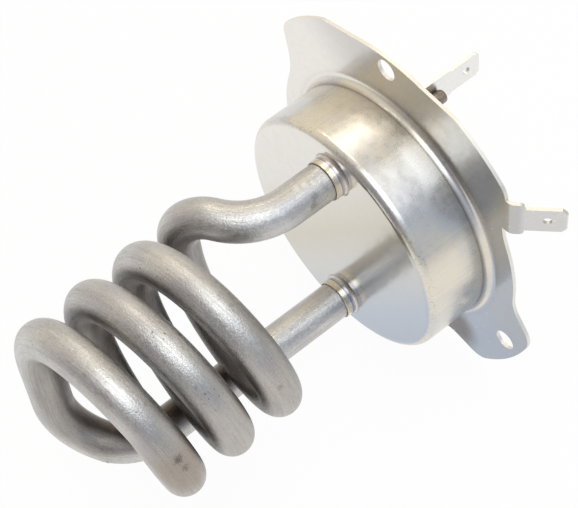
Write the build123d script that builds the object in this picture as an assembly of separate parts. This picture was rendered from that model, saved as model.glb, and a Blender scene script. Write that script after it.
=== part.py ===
from build123d import *
from math import cos, radians, sin
import os

os.makedirs("parts", exist_ok=True)

# A screw-in-place heating element of a dishwasher, in millimetres.
# The origin is the centre of the flange's seating face, +Z runs through the upper tube hole,
# and -Y points the way the heating coil reaches into the water.

# Flange sheet and its lobed outline. Angles are counted from the upper bolt hole,
# which stands a little to the side of the line through the two tubes.
sheet_t = 0.8
flange_turn = 1.0
notch_r = 35.3
crown_half_angle = 13
lobe_r = 43.3
lobe_shoulder_angle = 26
lobe_end_angle = 49.5
lobe_foot_angle = 63
side_foot_angle = 99
side_start_angle = 108
side_end_angle = 143
side_last_foot_angle = 153
lobe_corner_r = 5.0
lobe_foot_r = 18.0
side_foot_r = 8.0

# Bolt holes, and the land that the sheet keeps outside each of them
bolt_count = 3
bolt_circle_r = 38.35
bolt_hole_d = 4.8
crown_land = 0.85
side_land = 1.65

# Drawn cup
cup_r = 28.55
cup_depth = 15.9
rim_fillet = 2.0
bead_height = 1.7
bead_step = 0.35
foot_fillet = 1.55

# Earth lug, blanked from the flange's own sheet and bent back
lug_z = 22.9
lug_start_x = 29.0
lug_bend_x = 32.9
lug_bend_r = 1.2
lug_angle = 43
lug_base_width = 8.8
lug_neck = 1.9
lug_corner = 1.0

# Blade terminals
blade_width = 6.3
blade_length = 8.2
blade_t = 0.8
blade_hole_d = 1.8
blade_hole_from_tip = 3.85
blade_tip_chamfer = 1.1
blade_edge_bevel = 0.22

# Sheathed tube
tube_d = 8.5
tube_wall = 0.7
lead_z = 20.5
tube_end_y = -2.0
lead_corner_y = -35.6
lead_bend_r = 14.8
offset_bend_r = 8.2
offset_run = 14.3

# Heating coil
coil_r = 18.7
coil_pitch = 12.2
coil_start_angle = 185.8
coil_sweep_angle = 1076.3
coil_tilt = 4.5
coil_x = 4.8
coil_start_y = -45.6
coil_z = 9.05

# End bend from the coil to the return leg
end_run = 23.6
leg_corner_y = -73.3
end_bend_r = 13.0

# Weld collars round the tube where it passes the cup
collar_d = 9.2
collar_length = 2.7
collar_chamfer = 0.2
weld_leg = 0.5

# Inside the tube and at its ends
core_d = 3.0
cold_length = 25.0
pin_reach = 16.5
pin_round = 0.6
bush_d = 7.9
bush_head = 2.2
bush_plug = 4.0
bush_chamfer = 0.3
tab_neck_width = 7.2
tab_weld_length = 6.0
tab_shoulder_beyond_pin = 3.5

# Clearances
slip = 0.05
pin_slip = 0.1

tube_bore_d = tube_d - 2 * tube_wall
pin_end_y = tube_end_y + pin_reach
pin_start_y = tube_end_y - cold_length
face_y = -cup_depth
crown_r = bolt_circle_r + bolt_hole_d / 2 + crown_land
side_lobe_r = bolt_circle_r + bolt_hole_d / 2 + side_land


def at(radius, angle):
    """A point of the flange's outline, by its angle from the upper hole."""
    a = radians(angle + flange_turn)
    return (-radius * sin(a), radius * cos(a))


def arc(radius, start, end):
    """An arc of the outline about the flange's centre."""
    return ThreePointArc(at(radius, start), at(radius, (start + end) / 2), at(radius, end))


def half_outline(side):
    """One half of the lobed outline; side is 1 or -1."""
    s = side
    return [
        arc(crown_r, 0, s * crown_half_angle),
        Line(at(crown_r, s * crown_half_angle), at(lobe_r, s * lobe_shoulder_angle)),
        arc(lobe_r, s * lobe_shoulder_angle, s * lobe_end_angle),
        Line(at(lobe_r, s * lobe_end_angle), at(notch_r, s * lobe_foot_angle)),
        arc(notch_r, s * lobe_foot_angle, s * side_foot_angle),
        Line(at(notch_r, s * side_foot_angle), at(side_lobe_r, s * side_start_angle)),
        arc(side_lobe_r, s * side_start_angle, s * side_end_angle),
        Line(at(side_lobe_r, s * side_end_angle), at(notch_r, s * side_last_foot_angle)),
        arc(notch_r, s * side_last_foot_angle, s * 180),
    ]


def rounded(sketch, reach, angle, corner_r):
    """The outline with its two corners at this radius and angle rounded."""
    points = [Vector(x, 0, z) for x, z in (at(reach, angle), at(reach, -angle))]
    corners = [v for v in sketch.vertices() if min((Vector(v) - p).length for p in points) < sheet_t]
    return fillet(corners, corner_r)


def plate():
    """The flat sheet with its lobes, before the cup is drawn."""
    wire = Wire([e for side in (1, -1) for piece in half_outline(side) for e in piece.edges()])
    sketch = Plane.XZ * make_face(wire)
    for reach, angle, corner_r in (
        (crown_r, crown_half_angle, lobe_corner_r),
        (lobe_r, lobe_shoulder_angle, lobe_corner_r),
        (lobe_r, lobe_end_angle, lobe_corner_r),
        (notch_r, lobe_foot_angle, lobe_foot_r),
        (notch_r, side_foot_angle, side_foot_r),
        (side_lobe_r, side_start_angle, lobe_corner_r),
        (side_lobe_r, side_end_angle, lobe_corner_r),
        (notch_r, side_last_foot_angle, side_foot_r),
    ):
        sketch = rounded(sketch, reach, angle, corner_r)
    return extrude(sketch, -sheet_t)


def cup_outside():
    """The drawn cup's outer form: a rounded rim, a plain wall, a bead and a rounded foot."""
    bead_r = cup_r + bead_step
    foot_r = bead_r + foot_fillet
    outline = [
        Line((0, face_y), (cup_r - rim_fillet, face_y)),
        CenterArc((cup_r - rim_fillet, face_y + rim_fillet), rim_fillet, 270, 90),
        Line((cup_r, face_y + rim_fillet), (cup_r, -bead_height)),
        Line((cup_r, -bead_height), (bead_r, -bead_height)),
        Line((bead_r, -bead_height), (bead_r, -foot_fillet)),
        CenterArc((foot_r, -foot_fillet), foot_fillet, 90, 90),
        Line((foot_r, 0), (foot_r, sheet_t / 2)),
        Line((foot_r, sheet_t / 2), (0, sheet_t / 2)),
        Line((0, sheet_t / 2), (0, face_y)),
    ]
    section = make_face(Wire([e for piece in outline for e in piece.edges()]))
    return revolve(section, Axis.Y)


def cup_inside():
    """What the punch leaves open behind the cup, one sheet inside its outer form."""
    inner_r = cup_r - sheet_t
    inner_rim = rim_fillet - sheet_t
    floor_y = face_y + sheet_t
    mouth = foot_fillet
    outline = [
        Line((0, floor_y), (inner_r - inner_rim, floor_y)),
        CenterArc((inner_r - inner_rim, floor_y + inner_rim), inner_rim, 270, 90),
        Line((inner_r, floor_y + inner_rim), (inner_r, sheet_t - mouth)),
        CenterArc((inner_r + mouth, sheet_t - mouth), mouth, 90, 90),
        Line((inner_r + mouth, sheet_t), (0, sheet_t)),
        Line((0, sheet_t), (0, floor_y)),
    ]
    section = make_face(Wire([e for piece in outline for e in piece.edges()]))
    return revolve(section, Axis.Y)


def along_y(x, z, start_y, end_y, diameter):
    """A round bar parallel to Y between two depths."""
    bar = Cylinder(diameter / 2, end_y - start_y, align=(Align.CENTER, Align.CENTER, Align.MIN))
    return Location((x, start_y, z)) * Rotation(-90, 0, 0) * bar


def blade_face():
    """A blade's flat outline: its root on the Y axis, its tip along +X."""
    blank = Rectangle(blade_length, blade_width, align=(Align.MIN, Align.CENTER))
    tip = blank.vertices().sort_by(Axis.X)[-2:]
    hole = Location((blade_length - blade_hole_from_tip, 0)) * Circle(blade_hole_d / 2)
    return chamfer(tip, blade_tip_chamfer) - hole


def bevelled_blade():
    """A blade with its thin lead-in at the tip, standing on its mid plane."""
    body = extrude(blade_face(), blade_t / 2, both=True)
    tip_edges = body.edges().filter_by(Axis.Y).sort_by(Axis.X)[-2:]
    return chamfer(tip_edges, blade_edge_bevel)


def lug():
    """The earth lug: a strip that runs off the flange's edge and bends back."""
    a = radians(lug_angle)
    mid_r = lug_bend_r + sheet_t / 2
    end_x = lug_bend_x + mid_r * sin(a)
    end_y = sheet_t / 2 + mid_r * (1 - cos(a))
    root = Line((lug_start_x, sheet_t / 2), (lug_bend_x, sheet_t / 2))
    bend = CenterArc((lug_bend_x, sheet_t / 2 + mid_r), mid_r, 270, lug_angle)
    tail = Line((end_x, end_y), (end_x + lug_neck * cos(a), end_y + lug_neck * sin(a)))
    centre = Wire([root.edge(), bend.edge(), tail.edge()])
    strip = Rectangle(sheet_t, lug_base_width)
    start = Plane(origin=(lug_start_x, sheet_t / 2, 0), x_dir=(0, 1, 0), z_dir=(1, 0, 0))
    wide = sweep(start * strip, path=centre)
    end_face = wide.faces().sort_by(Axis.X)[-1]
    wide = fillet(end_face.edges().sort_by(SortBy.LENGTH)[:2], lug_corner)
    tip = (end_x + lug_neck * cos(a), end_y + lug_neck * sin(a), 0)
    frame = Plane(origin=tip, x_dir=(cos(a), sin(a), 0), z_dir=(sin(a), -cos(a), 0))
    return Location((0, 0, lug_z)) * (wide + frame * bevelled_blade())


def flange_cup():
    """One drawn sheet: lobed plate, cup, three bolt holes, two tube holes and the earth lug."""
    body = plate() + cup_outside() + lug() - cup_inside()
    for k in range(bolt_count):
        x, z = at(bolt_circle_r, k * 360 / bolt_count)
        body -= along_y(x, z, -sheet_t, 2 * sheet_t, bolt_hole_d)
    for z in (lead_z, -lead_z):
        body -= along_y(0, z, face_y - sheet_t, face_y + 2 * sheet_t, tube_d + 2 * slip)
    return body


def coil_frame():
    """Where the coil starts: its axis points at the nose and leans down a little."""
    place = Location((coil_x, coil_start_y, coil_z)) * Rotation(90 + coil_tilt, 0, 0)
    return place * Rotation(0, 0, coil_start_angle)


def coil_edge():
    """The coil's centre line, a right-handed helix."""
    height = coil_pitch * coil_sweep_angle / 360
    return coil_frame() * Helix(coil_pitch, height, coil_r)


def route(start_y):
    """The tube's centre line from one lead to the other, with both ends at start_y."""
    coil = coil_edge()
    coil_in, coil_out = coil @ 0, coil @ 1
    corner_in = coil_in - (coil % 0) * offset_run
    corner_out = coil_out + (coil % 1) * end_run
    lead_in = [(0, start_y, lead_z), (0, lead_corner_y, lead_z), corner_in, coil_in]
    lead_out = [coil_out, corner_out, (0, leg_corner_y, -lead_z), (0, start_y, -lead_z)]
    first = FilletPolyline(*lead_in, radius=[lead_bend_r, offset_bend_r])
    last = FilletPolyline(*lead_out, radius=[end_bend_r, end_bend_r])
    return Wire([*first.edges(), *coil.edges(), *last.edges()])


def swept(start_y, outer_d, inner_d=0):
    """A round bar or pipe along the route."""
    section = Circle(outer_d / 2)
    if inner_d:
        section -= Circle(inner_d / 2)
    start = Plane(origin=(0, start_y, lead_z), z_dir=(0, -1, 0))
    return sweep(start * section, path=route(start_y), is_frenet=True)


def heater_sheath():
    """The bent stainless tube, open at both ends."""
    return swept(tube_end_y, tube_d, tube_bore_d)


def filling():
    """The packed magnesia between the tube and what carries the current."""
    return swept(tube_end_y - bush_plug, tube_bore_d - 2 * slip, core_d + 2 * slip)


def wire_coil():
    """The envelope of the fine resistance winding, from cold pin to cold pin."""
    return swept(pin_start_y, core_d)


def cold_pin(z):
    """The steel pin that carries the current through the tube's unheated end."""
    pin = along_y(0, z, pin_start_y, pin_end_y, core_d)
    return fillet(pin.edges().sort_by(Axis.Y)[-1], pin_round)


def end_bush(z):
    """The ceramic bush that closes the tube's end round the pin."""
    head = along_y(0, z, tube_end_y, tube_end_y + bush_head, bush_d)
    head = chamfer(head.edges().filter_by(GeomType.CIRCLE).sort_by(Axis.Y)[-1], bush_chamfer)
    plug = along_y(0, z, tube_end_y - bush_plug, tube_end_y, tube_bore_d - 2 * slip)
    bore = along_y(0, z, tube_end_y - 2 * bush_plug, tube_end_y + 2 * bush_head, core_d + pin_slip)
    return head + plug - bore


def collar(z):
    """The short sleeve brazed round the tube, with a small weld at the cup's face."""
    ring = along_y(0, z, face_y - collar_length, face_y, collar_d)
    ring = chamfer(ring.edges().filter_by(GeomType.CIRCLE).sort_by(Axis.Y)[0], collar_chamfer)
    weld = Cone(collar_d / 2 + weld_leg, collar_d / 2, weld_leg)
    weld = Location((0, face_y - weld_leg / 2, z)) * Rotation(90, 0, 0) * weld
    return ring + weld - along_y(0, z, face_y - 2 * collar_length, 0, tube_d + 2 * slip)


def tab(z):
    """A blade terminal with a narrow neck that is welded flat along the pin's side."""
    shoulder_y = pin_end_y + tab_shoulder_beyond_pin
    side_x = -core_d / 2 - blade_t / 2
    neck_length = tab_shoulder_beyond_pin + tab_weld_length
    neck = Box(neck_length, tab_neck_width, blade_t, align=(Align.MAX, Align.CENTER, Align.CENTER))
    shape = bevelled_blade() + neck
    frame = Plane(origin=(side_x, shoulder_y, z), x_dir=(0, 1, 0), z_dir=(1, 0, 0))
    return frame * shape


PARTS = {
    "flange_cup": flange_cup(),
    "heater_sheath": heater_sheath(),
    "magnesia_filling": filling(),
    "resistance_winding": wire_coil(),
    "cold_pin_upper": cold_pin(lead_z),
    "cold_pin_lower": cold_pin(-lead_z),
    "end_bush_upper": end_bush(lead_z),
    "end_bush_lower": end_bush(-lead_z),
    "weld_collar_upper": collar(lead_z),
    "weld_collar_lower": collar(-lead_z),
    "blade_tab_upper": tab(lead_z),
    "blade_tab_lower": tab(-lead_z),
}

for name, solid in PARTS.items():
    export_step(solid, f"parts/{name}.step")
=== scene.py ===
import math

import bpy
from mathutils import Matrix, Vector


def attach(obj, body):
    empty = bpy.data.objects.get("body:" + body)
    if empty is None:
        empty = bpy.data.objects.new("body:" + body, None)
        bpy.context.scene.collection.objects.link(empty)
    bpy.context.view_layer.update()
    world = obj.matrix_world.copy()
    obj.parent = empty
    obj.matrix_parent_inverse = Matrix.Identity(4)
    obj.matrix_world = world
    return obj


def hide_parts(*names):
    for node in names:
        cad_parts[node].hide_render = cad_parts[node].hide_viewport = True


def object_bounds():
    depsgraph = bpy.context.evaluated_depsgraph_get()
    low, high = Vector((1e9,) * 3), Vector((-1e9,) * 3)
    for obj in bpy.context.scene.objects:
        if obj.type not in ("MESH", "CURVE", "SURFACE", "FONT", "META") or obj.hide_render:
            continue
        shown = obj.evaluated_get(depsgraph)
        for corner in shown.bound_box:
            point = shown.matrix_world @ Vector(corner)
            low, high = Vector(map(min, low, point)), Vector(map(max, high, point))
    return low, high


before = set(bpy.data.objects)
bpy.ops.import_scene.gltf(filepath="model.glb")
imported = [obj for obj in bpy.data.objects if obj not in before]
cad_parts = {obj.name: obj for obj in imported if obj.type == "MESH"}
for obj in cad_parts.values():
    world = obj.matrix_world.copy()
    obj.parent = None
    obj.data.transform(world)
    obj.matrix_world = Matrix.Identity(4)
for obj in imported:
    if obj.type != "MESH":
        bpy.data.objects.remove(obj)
cad_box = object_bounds()
scene = bpy.context.scene
MM = 0.001

# Camera, in millimetres of the part's own frame
CAMERA_AT = (167.724, -142.003, 274.685)
CAMERA_RIGHT = (0.637451, 0.764916, -0.092521)
CAMERA_DOWN = (0.579662, -0.55521, -0.596434)
CAMERA_AHEAD = (-0.50759, 0.326566, -0.797312)
FOCAL_PX = 1651.557
CENTRE_PX = (266.656, 253.174)
IMAGE_PX = (578, 508)
SENSOR_MM = 36.0
CLIP_NEAR = 0.01
CLIP_FAR = 20.0

# Floor: its drop below the part and half its width in metres, and where its glow fades
FLOOR_DROP = 0.0004
FLOOR_HALF = 3.0
FLOOR_COLOUR = (0.9, 0.9, 0.9)
FLOOR_ROUGH = 0.9
FLOOR_GLOW = 0.95
FLOOR_NEAR_MM = 230.0
FLOOR_FAR_MM = 700.0
FLOOR_FAR_TONE = 0.66

# Room: its own colour, then areas of it by direction, where each starts and is full, and colour
WORLD_BASE = (0.66, 0.63, 0.58)
WORLD_AREAS = (
    ((0.25, -0.95, -0.05), 0.25, 1.0, (0.30, 0.29, 0.31)),
    ((0.95, 0.1, 0.2), 0.5, 0.95, (0.54, 0.60, 0.70)),
    ((-0.88, 0.1, 0.4), 0.35, 0.9, (0.88, 0.83, 0.74)),
)

# Lamps: name, direction from the part, size in metres, brightness as seen, and colour
LAMPS = (
    ("overhead", (0.40, -0.04, 0.91), (0.54, 0.44), 2.25, (0.87, 0.935, 1.0)),
    ("warm_side", (-0.42, 0.25, 0.87), (0.24, 0.30), 1.9, (1.0, 0.93, 0.80)),
)
LAMP_REACH_MM = 600.0
LAMP_AIM_MM = (0.0, -35.0, 0.0)

# The sheath's route, in millimetres, as the tube is bent
TUBE_R = 4.25
TUBE_WALL = 0.7
TUBE_END_Y = -2.0
LEAD_Z = 20.5
LEAD_CORNER_Y = -35.6
LEAD_BEND_R = 14.8
OFFSET_BEND_R = 8.2
OFFSET_RUN = 14.3
COIL_R = 18.7
COIL_PITCH = 12.2
COIL_START = math.radians(185.8)
COIL_SWEEP = math.radians(1076.3)
COIL_TILT = math.radians(4.5)
COIL_AT = (4.8, -45.6, 9.05)
COIL_SLOPE = math.tan(COIL_TILT)
COIL_LEVEL = COIL_AT[2] - COIL_AT[1] * COIL_SLOPE
END_RUN = 23.6
LEG_CORNER_Y = -73.3
END_BEND_R = 13.0
RING_STEP = 0.6
BORE_STEP = 2.4
ROUND_SIDES = 56
SHARP_ANGLE = math.radians(50)

# The flange cup's main sizes, in millimetres
CUP_R = 28.55
CUP_DEPTH = 15.9
PLATE_INNER_R = 30.4
COLLAR_LENGTH = 2.7

# Noise over the unrolled tube: scale, detail, roughness, and stretch along it if any
TUBE_NOISE = {
    "lines": (3.0, 5.0, 0.65, (1, 1, 0.03)),
    "scratches": (3.4, 2.0, 0.5, (1, 1, 0.06)),
    "blotch": (0.16, 3.0, 0.55, (1, 1, 0.45)),
    "mottle": (1.3, 4.0, 0.65),
    "speckle": (3.6, 2.0, 0.6),
    "pits": (2.2, 2.0, 0.5),
}
TUBE_STAIN_NOISE = (0.11, 2.0, 0.5)

# The tube's colour, then layers on it: span of the pattern, share of the layer over it, and colour
TUBE_DULL = (0.54, 0.52, 0.49)
TUBE_PALE = (0.66, 0.64, 0.605)
TUBE_BLOTCH_SPAN = (0.35, 0.65)
TUBE_LAYERS = (
    ("lines", (0.42, 0.72), (0.0, 0.36), (0.30, 0.285, 0.27)),
    ("speckle", (0.50, 0.70), (0.0, 0.6), (0.80, 0.80, 0.80)),
    ("mottle", (0.28, 0.48), (0.35, 0.0), (0.26, 0.235, 0.21)),
    ("scratches", (0.62, 0.72), (0.0, 0.5), (0.82, 0.81, 0.79)),
    ("stain", (0.45, 0.65), (0.0, 0.35), (0.47, 0.455, 0.50)),
    ("across", (15.0, 27.0), (0.0, 0.45), (0.36, 0.32, 0.28)),
    ("browned", (3.0, 11.0), (0.55, 0.0), (0.32, 0.255, 0.20)),
    ("pits", (0.70, 0.76), (0.0, 0.75), (0.12, 0.10, 0.085)),
)
TUBE_BROWNED_AT = (27.0, -76.5, 9.0)

# Clusters of pits: where, and the radii where each is full and ends
TUBE_PITTED = (
    ((12.25, -68.49, 28.95), 1.0, 4.0),
    ((20.70, -57.74, 20.45), 1.0, 4.0),
    ((23.96, -66.64, 19.89), 1.0, 4.5),
    ((-3.20, -60.58, 26.94), 0.5, 2.5),
)
PIT_LIFT = 0.07

# Marks with ragged edges: where, the radii where each is full and ends, its share, and colour
MARK_DARK = (0.12, 0.10, 0.085)
MARK_SCUFF = (0.86, 0.79, 0.67)
TUBE_MARKS = (
    ((26.57, -76.92, 13.86), (0.2, 1.5), 0.7, MARK_DARK),
    ((27.31, -76.29, 11.08), (0.0, 1.2), 0.5, MARK_DARK),
    ((3.44, -23.30, 23.00), (0.0, 1.2), 0.45, MARK_DARK),
    ((4.13, -24.05, 21.49), (0.0, 1.4), 0.45, MARK_DARK),
    ((27.15, -53.08, 13.33), (0.0, 1.0), 0.35, MARK_DARK),
    ((0.55, -25.25, 24.71), (0.1, 0.9), 0.5, MARK_SCUFF),
    ((0.77, -23.60, 24.68), (0.1, 1.0), 0.5, MARK_SCUFF),
    ((1.30, -21.90, 24.40), (0.0, 0.8), 0.5, MARK_SCUFF),
)
RAGGED_MM = 2.4

# Painted shade on the coil's inner side, and painted shade with some grime in the recesses between
# the turns
RECESS_SAMPLES = 16
INNER_FACING = (0.1, 0.8)
INNER_SHARE = (0.0, 0.5)
INNER_EDGE_MM = 4.0
INNER_COLOUR = (0.17, 0.14, 0.115)
TUBE_RECESS_MM = 26.0
TUBE_RECESS = ((0.25, 0.85), (0.94, 0.0), (0.065, 0.048, 0.036))

# The tube's roughness, as two patterns that add up: span, and roughness over it
TUBE_ROUGH = (0.3, 0.7, 0.34, 0.46)
TUBE_LINE_ROUGH = (0.35, 0.7, -0.03, 0.06)

# The tube's bumps, in millimetres
TUBE_BUMPS = (("lines", 0.035), ("mottle", 0.08), ("speckle", 0.065))

# Noise over the sheet: scale, detail and roughness
SHEET_NOISE = {
    "cloud": (0.07, 2.0, 0.45),
    "mottle": (0.6, 1.5, 0.5),
    "wear": (1.8, 3.0, 0.6),
    "specks": (1.3, 1.0, 0.4),
    "waves": (0.25, 1.0, 0.5),
}
DRAWING_NOISE = (1.6, 4.0, 0.6)
DRAWING_RISE = 0.05

# Areas of the sheet: by how far it faces along the axis, and by place in millimetres
FLAT_FACING = (0.8, 0.97)
EDGE_FACING = (0.3, 0.6)
PLATE_BLEND = 0.4
LUG_Y = (0.9, 2.0)
FRONT_Y = (0.1, 0.5)
RIM_Y = (-13.4, -14.8)

# Painted reflection and shade on the sheet, from -x +z to +x -z over this width, as place and
# colour
SHEET_PAINTED_LIGHT_MM = 100.0
SHEET_PAINTED_LIGHT = (
    (0.02, (0.84, 0.81, 0.765)),
    (0.28, (0.78, 0.755, 0.71)),
    (0.48, (0.635, 0.60, 0.51)),
    (0.60, (0.63, 0.625, 0.60)),
    (0.77, (0.47, 0.515, 0.59)),
    (1.0, (0.37, 0.42, 0.50)),
)

# The cup's wall and the lug, then the layers on the sheet, with painted shade on the plate, at the
# cup's foot and in recesses and a painted highlight on the cut edge: span, share over it, and
# colour
WALL_COOL = (0.67, 0.66, 0.645)
WALL_WARM = (0.79, 0.735, 0.625)
WALL_CLOUD_SPAN = (0.38, 0.62)
WALL_LINES = ((0.45, 0.75), (0.0, 0.16), (0.42, 0.40, 0.38))
LUG_COLOUR = (0.83, 0.82, 0.80)
SHADED = ((2.0, 30.0), (0.0, 0.48), (0.40, 0.39, 0.385))
FOOT_SHADE = ((18.4, 0.0, -28.0), 3.0, 8.5)
FOOT_SHARE = 0.75
FOOT_COLOUR = (0.11, 0.085, 0.07)
SHEET_MOTTLE = ((0.3, 0.6), (0.08, 0.0), (0.45, 0.43, 0.41))
EDGE_HIGHLIGHT_SHARE = 0.8
EDGE_HIGHLIGHT = (0.93, 0.89, 0.81)
WORN = ((0.56, 0.66), (0.0, 0.5), (0.34, 0.31, 0.29))
SPECKS = ((0.73, 0.77), (0.0, 0.7), (0.95, 0.94, 0.92))
SHEET_RECESS_MM = 7.0
SHEET_RECESS = ((0.3, 0.8), (0.75, 0.0), (0.12, 0.095, 0.08))

# The sheet's roughness, what the flats and the cut edge add to it, and its bumps in millimetres
SHEET_ROUGH = (0.3, 0.7, 0.25, 0.31)
FLAT_ROUGH = -0.09
EDGE_ROUGH = 0.2
DRAWING_BUMP = 0.004
WAVES_BUMP = 0.05

# The collar's rings, from its free end to the cup's face, and the mottling on them
COLLAR_BANDS = (
    (0.0, (0.08, 0.065, 0.05)),
    (0.07, (0.84, 0.74, 0.56)),
    (0.40, (0.88, 0.82, 0.70)),
    (0.48, (0.93, 0.92, 0.91)),
    (0.56, (0.36, 0.31, 0.34)),
    (0.66, (0.62, 0.60, 0.60)),
    (0.86, (0.70, 0.68, 0.66)),
    (0.96, (0.46, 0.39, 0.34)),
)
COLLAR_NOISE = (1.4, 3.0, 0.55)
COLLAR_MOTTLE = ((0.35, 0.6), (0.22, 0.0), (0.36, 0.30, 0.27))
COLLAR_ROUGH = (0.3, 0.7, 0.22, 0.30)
COLLAR_BASE_ROUGH = 0.26
COLLAR_BUMP = 0.01

# Plain finishes: colour, roughness, metallic, tone of the darker mottling, and bump in millimetres
FINISHES = {
    "bush_ceramic": ((0.80, 0.77, 0.70), 0.70, 0.0, 0.75, 0.01),
    "pin_steel": ((0.38, 0.31, 0.25), 0.34, 1.0, 0.60, 0.01),
    "blade_plate": ((0.92, 0.905, 0.875), 0.34, 1.0, 0.93, 0.004),
}
PLAIN_NOISE = (1.2, 4.0, 0.6)
PLAIN_SPAN = (0.3, 0.7)
PLAIN_SMOOTHER = 0.04
PLAIN_ROUGHER = 0.06


def add_camera():
    data = bpy.data.cameras.new("camera")
    data.sensor_fit = "HORIZONTAL"
    data.sensor_width = SENSOR_MM
    data.lens = FOCAL_PX / IMAGE_PX[0] * SENSOR_MM
    data.shift_x = (IMAGE_PX[0] / 2 - CENTRE_PX[0]) / IMAGE_PX[0]
    data.shift_y = (CENTRE_PX[1] - IMAGE_PX[1] / 2) / IMAGE_PX[0]
    data.clip_start = CLIP_NEAR
    data.clip_end = CLIP_FAR
    obj = bpy.data.objects.new("camera", data)
    scene.collection.objects.link(obj)
    up = [-c for c in CAMERA_DOWN]
    back = [-c for c in CAMERA_AHEAD]
    axes = Matrix((CAMERA_RIGHT, up, back)).transposed()
    obj.matrix_world = Matrix.Translation(Vector(CAMERA_AT) * MM) @ axes.to_4x4()
    scene.camera = obj


class Shade:
    """A material under construction, with a short call for each kind of node."""

    NUMBER_RESULTS = ("DOT_PRODUCT", "LENGTH", "DISTANCE")

    def __init__(self, name, roughness=0.4, metallic=1.0):
        self.material = bpy.data.materials.new(name)
        self.material.use_nodes = True
        self.nodes = self.material.node_tree.nodes
        self.links = self.material.node_tree.links
        self.shader = self.nodes["Principled BSDF"]
        self.set("Metallic", metallic)
        self.set("Roughness", roughness)

    def set(self, socket, value):
        self.plug(value, self.shader.inputs[socket])

    def plug(self, value, socket):
        if isinstance(value, bpy.types.NodeSocket):
            self.links.new(value, socket)
        elif value is not None:
            socket.default_value = value

    def node(self, kind, **settings):
        made = self.nodes.new(kind)
        for key, value in settings.items():
            setattr(made, key, value)
        return made

    def math(self, operation, a, b=None, c=None):
        made = self.node("ShaderNodeMath", operation=operation)
        for value, socket in zip((a, b, c), made.inputs):
            self.plug(value, socket)
        return made.outputs[0]

    def product(self, first, *others):
        """All the values multiplied together."""
        for other in others:
            first = self.math("MULTIPLY", first, other)
        return first

    def vector(self, operation, a, b=None, scale=None):
        made = self.node("ShaderNodeVectorMath", operation=operation)
        self.plug(a, made.inputs[0])
        self.plug(b, made.inputs[1])
        self.plug(scale, made.inputs[3])
        return made.outputs["Value" if operation in self.NUMBER_RESULTS else "Vector"]

    def parts(self, vector):
        made = self.node("ShaderNodeSeparateXYZ")
        self.plug(vector, made.inputs[0])
        return made.outputs

    def join(self, x, y, z):
        made = self.node("ShaderNodeCombineXYZ")
        for value, socket in zip((x, y, z), made.inputs):
            self.plug(value, socket)
        return made.outputs[0]

    def noise(self, place, scale, detail, rough, stretch=None):
        if stretch:
            place = self.vector("MULTIPLY", place, stretch)
        made = self.node("ShaderNodeTexNoise")
        self.plug(place, made.inputs["Vector"])
        made.inputs["Scale"].default_value = scale
        made.inputs["Detail"].default_value = detail
        made.inputs["Roughness"].default_value = rough
        return made.outputs["Fac"]

    def step(self, value, low, high, to_low=0.0, to_high=1.0):
        """A smooth step from to_low to to_high as value goes from low to high."""
        made = self.node("ShaderNodeMapRange", interpolation_type="SMOOTHSTEP")
        for item, socket in zip((value, low, high, to_low, to_high), made.inputs):
            self.plug(item, socket)
        return made.outputs["Result"]

    def mix(self, share, first, second):
        made = self.node("ShaderNodeMix", data_type="RGBA")
        self.plug(share, made.inputs["Factor"])
        colours = [s for s in made.inputs if s.type == "RGBA"]
        for colour, socket in zip((first, second), colours):
            if isinstance(colour, tuple):
                socket.default_value = (*colour, 1.0)
            else:
                self.plug(colour, socket)
        return [s for s in made.outputs if s.type == "RGBA"][0]

    def layer(self, colour, value, span, share, paint, *masks):
        """Paint laid over a colour, its share following a value over a span, inside any masks."""
        return self.mix(self.product(self.step(value, *span, *share), *masks), colour, paint)

    def place(self):
        """The object's own coordinates, in millimetres."""
        made = self.node("ShaderNodeTexCoord")
        return self.vector("SCALE", made.outputs["Object"], scale=1 / MM)

    def normal(self):
        return self.node("ShaderNodeNewGeometry").outputs["Normal"]

    def bands(self, value, stops):
        """Colours that follow a value from 0 to 1, as (place, colour) pairs."""
        made = self.node("ShaderNodeValToRGB")
        self.plug(value, made.inputs[0])
        ramp = made.color_ramp.elements
        while len(ramp) < len(stops):
            ramp.new(0.5)
        for element, (place, colour) in zip(ramp, stops):
            element.position = place
            element.color = (*colour, 1.0)
        return made.outputs["Color"]

    def occlusion(self, reach_mm):
        """1 in the open, towards 0 in a recess of the piece itself."""
        made = self.node("ShaderNodeAmbientOcclusion", samples=RECESS_SAMPLES, only_local=True)
        made.inputs["Distance"].default_value = reach_mm * MM
        return made.outputs["AO"]

    def attribute(self, name):
        return self.node("ShaderNodeAttribute", attribute_name=name).outputs["Vector"]

    def spot(self, place, centre, inner, outer):
        """A mask that is 1 inside the inner radius round a point and 0 past the outer one."""
        return self.step(self.vector("DISTANCE", place, centre), inner, outer, 1.0, 0.0)

    def bump(self, height, depth, under=None):
        """Bump with its depth in millimetres, on top of another bump if one is given."""
        made = self.node("ShaderNodeBump")
        made.inputs["Strength"].default_value = 1.0
        made.inputs["Distance"].default_value = depth * MM
        self.plug(height, made.inputs["Height"])
        self.plug(under, made.inputs["Normal"])
        return made.outputs["Normal"]


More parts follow.
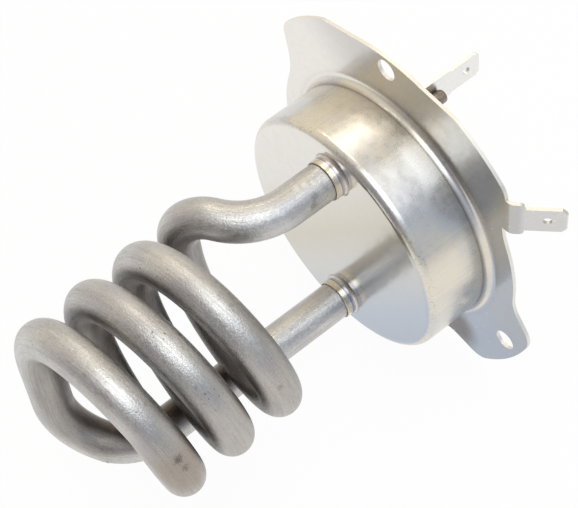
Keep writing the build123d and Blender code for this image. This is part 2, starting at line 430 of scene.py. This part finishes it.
def add_floor():
    """A white floor that shows as a glow, which fades far from the part."""
    low = cad_box[0][2] - FLOOR_DROP
    half = FLOOR_HALF
    corners = [(-half, -half, low), (half, -half, low), (half, half, low), (-half, half, low)]
    mesh = bpy.data.meshes.new("floor")
    mesh.from_pydata(corners, [], [(0, 1, 2, 3)])
    floor = bpy.data.objects.new("floor", mesh)
    scene.collection.objects.link(floor)
    paint = Shade("floor", FLOOR_ROUGH, metallic=0.0)
    paint.set("Base Color", (*FLOOR_COLOUR, 1.0))
    paths = paint.node("ShaderNodeLightPath")
    seen = paint.math("MAXIMUM", paths.outputs["Is Camera Ray"], paths.outputs["Is Glossy Ray"])
    seen = paint.math("MAXIMUM", seen, paths.outputs["Is Transmission Ray"])
    glow = paint.node("ShaderNodeEmission")
    away = paint.vector("LENGTH", paint.place())
    fade = paint.step(away, FLOOR_NEAR_MM, FLOOR_FAR_MM, 1.0, FLOOR_FAR_TONE)
    paint.plug(fade, glow.inputs["Strength"])
    mix = paint.node("ShaderNodeMixShader")
    paint.plug(paint.math("MULTIPLY", seen, FLOOR_GLOW), mix.inputs[0])
    paint.plug(paint.shader.outputs[0], mix.inputs[1])
    paint.plug(glow.outputs[0], mix.inputs[2])
    paint.plug(mix.outputs[0], paint.nodes["Material Output"].inputs["Surface"])
    mesh.materials.append(paint.material)


def add_world():
    """A pale room, warm on one side and dim towards the front, where the photographer stands."""
    world = bpy.data.worlds.new("studio")
    scene.world = world
    world.use_nodes = True
    nodes, links = world.node_tree.nodes, world.node_tree.links
    way = nodes.new("ShaderNodeTexCoord").outputs["Generated"]

    def facing(direction, low, high):
        dot = nodes.new("ShaderNodeVectorMath")
        dot.operation = "DOT_PRODUCT"
        links.new(way, dot.inputs[0])
        dot.inputs[1].default_value = Vector(direction).normalized()
        ramp = nodes.new("ShaderNodeMapRange")
        ramp.interpolation_type = "SMOOTHSTEP"
        links.new(dot.outputs["Value"], ramp.inputs[0])
        ramp.inputs[1].default_value = low
        ramp.inputs[2].default_value = high
        return ramp.outputs["Result"]

    colour = WORLD_BASE
    for direction, low, high, tint in WORLD_AREAS:
        mix = nodes.new("ShaderNodeMix")
        mix.data_type = "RGBA"
        links.new(facing(direction, low, high), mix.inputs["Factor"])
        first, second = [s for s in mix.inputs if s.type == "RGBA"]
        if isinstance(colour, tuple):
            first.default_value = (*colour, 1)
        else:
            links.new(colour, first)
        second.default_value = (*tint, 1)
        colour = [s for s in mix.outputs if s.type == "RGBA"][0]
    links.new(colour, nodes["Background"].inputs["Color"])
    nodes["Background"].inputs["Strength"].default_value = 1.0


def add_lamp(name, direction, size, radiance, colour):
    """A soft box seen from the part in one direction, with its brightness as it is seen."""
    data = bpy.data.lights.new(name, "AREA")
    data.shape = "RECTANGLE"
    data.size, data.size_y = size
    data.energy = radiance * math.pi * size[0] * size[1]
    data.color = colour
    lamp = bpy.data.objects.new(name, data)
    scene.collection.objects.link(lamp)
    aim = Vector(direction).normalized()
    place = (aim * LAMP_REACH_MM + Vector(LAMP_AIM_MM)) * MM
    turned = (-aim).to_track_quat("-Z", "Y").to_matrix().to_4x4()
    lamp.matrix_world = Matrix.Translation(place) @ turned


def rounded(points, radii):
    """A polyline with its inner corners turned into arcs."""
    path = [points[0]]
    for before, corner, after, radius in zip(points, points[1:], points[2:], radii):
        back, ahead = (before - corner).normalized(), (after - corner).normalized()
        half = back.angle(ahead) / 2
        centre = corner + (back + ahead).normalized() * radius / math.sin(half)
        start = corner + back * radius / math.tan(half) - centre
        end = corner + ahead * radius / math.tan(half) - centre
        turn = start.angle(end)
        count = max(2, round(turn * radius / RING_STEP))
        for k in range(count + 1):
            angle = turn * k / count
            spoke = start * math.sin(turn - angle) + end * math.sin(angle)
            path.append(centre + spoke / math.sin(turn))
    return path + [points[-1]]


def coil_point(share):
    """A point of the coil's centre line, with share from 0 at its start to 1 at its end."""
    turn = COIL_START + COIL_SWEEP * share
    ahead = COIL_PITCH * COIL_SWEEP * share / math.tau
    x, z = COIL_R * math.cos(turn), COIL_R * math.sin(turn)
    drop, reach = math.sin(COIL_TILT), math.cos(COIL_TILT)
    return Vector(COIL_AT) + Vector((x, -ahead * reach - z * drop, z * reach - ahead * drop))


def sheath_route():
    """The tube's centre line, from the upper lead's end to the lower one's."""
    count = round(COIL_R * COIL_SWEEP / RING_STEP)
    coil = [coil_point(k / count) for k in range(count + 1)]
    into = (coil[0] - coil_point(-1 / count)).normalized()
    out = (coil_point(1 + 1 / count) - coil[-1]).normalized()
    upper = [
        Vector((0, TUBE_END_Y, LEAD_Z)),
        Vector((0, LEAD_CORNER_Y, LEAD_Z)),
        coil[0] - into * OFFSET_RUN,
        coil[0],
    ]
    lower = [
        coil[-1],
        coil[-1] + out * END_RUN,
        Vector((0, LEG_CORNER_Y, -LEAD_Z)),
        Vector((0, TUBE_END_Y, -LEAD_Z)),
    ]
    lead_in = rounded(upper, (LEAD_BEND_R, OFFSET_BEND_R))
    lead_out = rounded(lower, (END_BEND_R, END_BEND_R))
    return lead_in + coil[1:-1] + lead_out


def evenly(path, step):
    """Points at equal steps along a polyline, with the distance of each from the start."""
    reach = [0.0]
    for a, b in zip(path, path[1:]):
        reach.append(reach[-1] + (b - a).length)
    count = round(reach[-1] / step)
    points, k = [], 0
    for n in range(count + 1):
        along = reach[-1] * n / count
        while k < len(path) - 2 and reach[k + 1] < along:
            k += 1
        gap = reach[k + 1] - reach[k]
        share = (along - reach[k]) / gap if gap else 0.0
        points.append((path[k].lerp(path[k + 1], share), along))
    return points


def tube_rings(path, step, radius):
    """Rings of points round a path that don't twist, each with its place on the unrolled skin."""
    rings = []
    points = evenly(path, step)
    side = Vector((1, 0, 0))
    for k, (point, along) in enumerate(points):
        following, previous = points[min(k + 1, len(points) - 1)][0], points[max(k - 1, 0)][0]
        ahead = (following - previous).normalized()
        side = (side - ahead * side.dot(ahead)).normalized()
        up = ahead.cross(side)
        ring = []
        for n in range(ROUND_SIDES):
            angle = math.tau * n / ROUND_SIDES
            out = side * math.cos(angle) + up * math.sin(angle)
            skin = (TUBE_R * math.cos(angle), TUBE_R * math.sin(angle), along)
            ring.append(((point + out * radius) * MM, skin))
        rings.append(ring)
    return rings


def add_sheath():
    """The bent tube as one closed mesh: outer skin, bore and both end rings."""
    path = sheath_route()
    rings = tube_rings(path, RING_STEP, TUBE_R)
    rings += tube_rings(path, BORE_STEP, TUBE_R - TUBE_WALL)[::-1]
    points = [p for ring in rings for p, skin in ring]
    faces = []
    for k in range(len(rings)):
        a, b = k * ROUND_SIDES, (k + 1) % len(rings) * ROUND_SIDES
        for n in range(ROUND_SIDES):
            m = (n + 1) % ROUND_SIDES
            faces.append((a + n, a + m, b + m, b + n))
    mesh = bpy.data.meshes.new("tube_skin")
    mesh.from_pydata(points, [], faces)
    mesh.validate()
    mesh.shade_smooth()
    skin = mesh.attributes.new("skin", "FLOAT_VECTOR", "POINT")
    skin.data.foreach_set("vector", [c for ring in rings for p, place in ring for c in place])
    sheath = bpy.data.objects.new("tube_skin", mesh)
    scene.collection.objects.link(sheath)
    split = sheath.modifiers.new("crisp_ends", "EDGE_SPLIT")
    split.split_angle = SHARP_ANGLE
    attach(sheath, "root")
    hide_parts("heater_sheath")
    mesh.materials.append(sheath_steel())


def pit_pattern(s, place, noise):
    """The noise that makes pits, raised where they cluster."""
    pitted = 0.0
    for centre, inner, outer in TUBE_PITTED:
        pitted = s.math("ADD", s.spot(place, centre, inner, outer), pitted)
    return s.math("MULTIPLY_ADD", pitted, PIT_LIFT, noise)


def with_marks(s, colour, place, speckle):
    """The single marks, with their edges made ragged by the speckle."""
    ragged = s.math("MULTIPLY_ADD", speckle, RAGGED_MM, -RAGGED_MM / 2)
    for centre, span, share, paint in TUBE_MARKS:
        away = s.math("ADD", s.vector("DISTANCE", place, centre), ragged)
        colour = s.layer(colour, away, span, (share, 0.0), paint)
    return colour


def with_inner_shade(s, colour, place):
    """Painted shade where the tube's surface faces the coil's axis, along the coil only."""
    x, y, z = s.parts(place)
    axis_z = s.math("MULTIPLY_ADD", y, COIL_SLOPE, COIL_LEVEL)
    to_axis = s.join(s.math("SUBTRACT", COIL_AT[0], x), 0.0, s.math("SUBTRACT", axis_z, z))
    inward = s.vector("DOT_PRODUCT", s.normal(), s.vector("NORMALIZE", to_axis))
    on_coil = s.step(y, COIL_AT[1] + INNER_EDGE_MM, COIL_AT[1] - INNER_EDGE_MM)
    return s.layer(colour, inward, INNER_FACING, INNER_SHARE, INNER_COLOUR, on_coil)


def sheath_steel():
    """Annealed tube: dull warm grey, drawn lines along it, speckle, pits, a few marks, painted
    shade on the coil's inner side and painted shade with some grime in the recesses.
    """
    s = Shade("sheath_steel")
    skin = s.attribute("skin")
    place = s.place()
    found = {name: s.noise(skin, *made) for name, made in TUBE_NOISE.items()}
    found["stain"] = s.noise(place, *TUBE_STAIN_NOISE)
    found["across"] = s.parts(place)[0]
    found["browned"] = s.vector("DISTANCE", place, TUBE_BROWNED_AT)
    found["pits"] = pit_pattern(s, place, found["pits"])
    colour = s.mix(s.step(found["blotch"], *TUBE_BLOTCH_SPAN), TUBE_DULL, TUBE_PALE)
    for name, span, share, paint in TUBE_LAYERS:
        colour = s.layer(colour, found[name], span, share, paint)
    colour = with_marks(s, colour, place, found["speckle"])
    # Painted shade on the coil's inner side.
    colour = with_inner_shade(s, colour, place)
    # Painted shade, with some grime, in the recesses between the turns.
    s.set("Base Color", s.layer(colour, s.occlusion(TUBE_RECESS_MM), *TUBE_RECESS))
    rough = s.step(found["mottle"], *TUBE_ROUGH)
    s.set("Roughness", s.math("ADD", rough, s.step(found["lines"], *TUBE_LINE_ROUGH)))
    under = None
    for name, depth in TUBE_BUMPS:
        under = s.bump(found[name], depth, under)
    s.set("Normal", under)
    return s.material


def drawing_lines(s, way, y):
    """Lines that the drawing left along the cup's wall, from a place on the wall's cylinder."""
    rise = s.join(0.0, s.math("MULTIPLY", y, DRAWING_RISE), 0.0)
    return s.noise(s.vector("ADD", s.vector("SCALE", way, scale=CUP_R), rise), *DRAWING_NOISE)


def sheet_colour(s, x, y, z, flat, cloud, drawing):
    """The painted reflection and shade on the flats, the lug's own colour, and the colour of the
    cup's wall.
    """
    # Painted reflection and shade: pale at -x +z, darker and bluer towards +x -z.
    across = s.math("MULTIPLY_ADD", s.math("SUBTRACT", x, z), 1 / SHEET_PAINTED_LIGHT_MM, 0.5)
    flats = s.mix(s.step(y, *LUG_Y), s.bands(across, SHEET_PAINTED_LIGHT), LUG_COLOUR)
    wall = s.mix(s.step(cloud, *WALL_CLOUD_SPAN), WALL_COOL, WALL_WARM)
    return s.mix(flat, s.layer(wall, drawing, *WALL_LINES), flats)


def drawn_steel():
    """The flange cup's sheet: satin face, polished wall, smooth plate with a painted highlight on
    its cut edge.
    """
    s = Shade("drawn_steel")
    place = s.place()
    x, y, z = s.parts(place)
    found = {name: s.noise(place, *made) for name, made in SHEET_NOISE.items()}
    outward = s.join(x, 0.0, z)
    facing = s.math("ABSOLUTE", s.parts(s.normal())[1])
    flat = s.step(facing, *FLAT_FACING)
    side = s.math("SUBTRACT", 1.0, flat)
    radius = s.vector("LENGTH", outward)
    outer = s.step(radius, PLATE_INNER_R - PLATE_BLEND, PLATE_INNER_R + PLATE_BLEND)
    edge = s.product(s.step(facing, *EDGE_FACING, 1.0, 0.0), outer)
    drawing = drawing_lines(s, s.vector("NORMALIZE", outward), y)
    colour = sheet_colour(s, x, y, z, flat, found["cloud"], drawing)
    before_lug = s.step(y, *LUG_Y, 1.0, 0.0)
    # Painted shade on the plate towards +x +z, short of the lug.
    colour = s.layer(colour, s.math("ADD", x, z), *SHADED, outer, before_lug)
    # Painted shade: a dark spot on the plate's front by the cup's foot.
    foot = s.product(s.spot(place, *FOOT_SHADE), s.step(y, *FRONT_Y, FOOT_SHARE, 0.0))
    colour = s.mix(foot, colour, FOOT_COLOUR)
    colour = s.layer(colour, found["mottle"], *SHEET_MOTTLE)
    # A painted highlight along the plate's cut edge.
    colour = s.mix(s.product(edge, EDGE_HIGHLIGHT_SHARE), colour, EDGE_HIGHLIGHT)
    colour = s.layer(colour, found["wear"], *WORN, s.step(y, *RIM_Y), side)
    colour = s.layer(colour, found["specks"], *SPECKS, outer)
    # Painted shade in the sheet's recesses, such as the corner at the cup's foot.
    s.set("Base Color", s.layer(colour, s.occlusion(SHEET_RECESS_MM), *SHEET_RECESS))
    rough = s.math("MULTIPLY_ADD", flat, FLAT_ROUGH, s.step(found["mottle"], *SHEET_ROUGH))
    s.set("Roughness", s.math("MULTIPLY_ADD", edge, EDGE_ROUGH, rough))
    wall = s.product(side, s.math("SUBTRACT", 1.0, outer))
    under = s.bump(s.product(drawing, wall), DRAWING_BUMP)
    s.set("Normal", s.bump(found["waves"], WAVES_BUMP, under))
    return s.material


def collar_steel():
    """Turned collar: straw tint where the weld was hot, a bright ring, a dark groove, the weld."""
    s = Shade("collar_steel", COLLAR_BASE_ROUGH)
    place = s.place()
    free_end = CUP_DEPTH / COLLAR_LENGTH + 1.0
    along = s.math("MULTIPLY_ADD", s.parts(place)[1], 1 / COLLAR_LENGTH, free_end)
    mottle = s.noise(place, *COLLAR_NOISE)
    s.set("Base Color", s.layer(s.bands(along, COLLAR_BANDS), mottle, *COLLAR_MOTTLE))
    s.set("Roughness", s.step(mottle, *COLLAR_ROUGH))
    s.set("Normal", s.bump(mottle, COLLAR_BUMP))
    return s.material


def plain(name):
    """A simple worked metal or ceramic with fine mottling, by its name among the finishes."""
    colour, rough, metallic, dark, depth = FINISHES[name]
    s = Shade(name, rough, metallic)
    mottle = s.noise(s.place(), *PLAIN_NOISE)
    low = tuple(c * dark for c in colour)
    s.set("Base Color", s.mix(s.step(mottle, *PLAIN_SPAN), low, colour))
    s.set("Roughness", s.step(mottle, *PLAIN_SPAN, rough - PLAIN_SMOOTHER, rough + PLAIN_ROUGHER))
    s.set("Normal", s.bump(mottle, depth))
    return s.material


def assign(material, *nodes):
    for node in nodes:
        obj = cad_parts[node]
        obj.data.materials.clear()
        obj.data.materials.append(material)


scene.view_settings.view_transform = "Standard"
add_camera()
add_floor()
add_world()
for lamp in LAMPS:
    add_lamp(*lamp)
add_sheath()
assign(drawn_steel(), "flange_cup")
assign(collar_steel(), "weld_collar_upper", "weld_collar_lower")
assign(plain("bush_ceramic"), "magnesia_filling", "end_bush_upper", "end_bush_lower")
assign(plain("pin_steel"), "resistance_winding", "cold_pin_upper", "cold_pin_lower")
assign(plain("blade_plate"), "blade_tab_upper", "blade_tab_lower")
